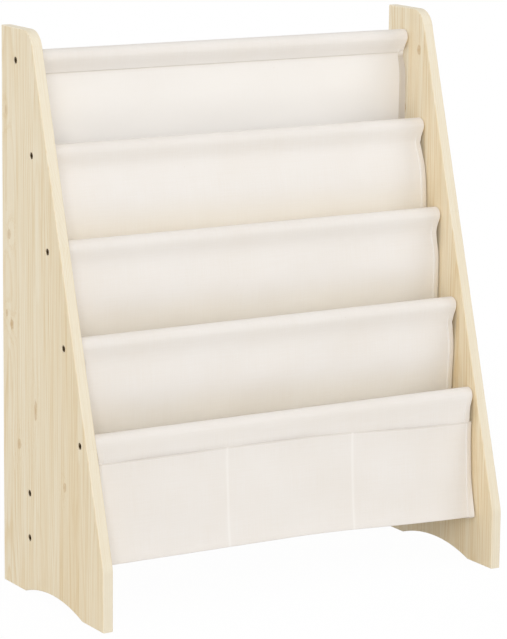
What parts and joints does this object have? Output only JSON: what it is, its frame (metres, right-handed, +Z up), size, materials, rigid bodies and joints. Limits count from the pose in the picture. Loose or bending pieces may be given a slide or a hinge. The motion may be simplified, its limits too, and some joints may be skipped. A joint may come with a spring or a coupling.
{
  "type": "sling bookshelf",
  "caption": "Child's sling bookshelf: canvas pockets step down on wooden dowels between slanted pine side panels, with small pockets along the front foot.",
  "frame": {"origin": "the floor under the middle of the shelf, at half its width and half its depth", "axes": "+Z up, +X to the right as seen from the front; the open front faces -Y and the straight back edges face +Y"},
  "size_m": [0.62, 0.28, 0.75],
  "materials": {
    "pine": "clear matt lacquer on edge-glued pine boards",
    "dowel_wood": "sanded smooth, clear matt lacquer",
    "canvas": "natural off-white plain-weave cotton canvas",
    "dark_steel": "dark bronze plating",
    "zinc": "zinc plating"
  },
  "bodies": {
    "root": {"side_panel_left": "pine", "side_panel_right": "pine", "top_dowel": "dowel_wood", "top_insert_left": "zinc", "top_bolt_left": "dark_steel", "top_insert_right": "zinc", "top_bolt_right": "dark_steel", "second_dowel": "dowel_wood", "second_insert_left": "zinc", "second_bolt_left": "dark_steel", "second_insert_right": "zinc", "second_bolt_right": "dark_steel", "third_dowel": "dowel_wood", "third_insert_left": "zinc", "third_bolt_left": "dark_steel", "third_insert_right": "zinc", "third_bolt_right": "dark_steel", "fourth_dowel": "dowel_wood", "fourth_insert_left": "zinc", "fourth_bolt_left": "dark_steel", "fourth_insert_right": "zinc", "fourth_bolt_right": "dark_steel", "front_dowel": "dowel_wood", "front_insert_left": "zinc", "front_bolt_left": "dark_steel", "front_insert_right": "zinc", "front_bolt_right": "dark_steel", "upper_rear_dowel": "dowel_wood", "upper_rear_insert_left": "zinc", "upper_rear_bolt_left": "dark_steel", "upper_rear_insert_right": "zinc", "upper_rear_bolt_right": "dark_steel", "lower_rear_dowel": "dowel_wood", "lower_rear_insert_left": "zinc", "lower_rear_bolt_left": "dark_steel", "lower_rear_insert_right": "zinc", "lower_rear_bolt_right": "dark_steel", "top_pocket_sling": "canvas", "second_pocket_sling": "canvas", "third_pocket_sling": "canvas", "bottom_pocket_back": "canvas", "bottom_pocket_front": "canvas", "small_pocket_strip": "canvas"}
  },
  "joints": []
}
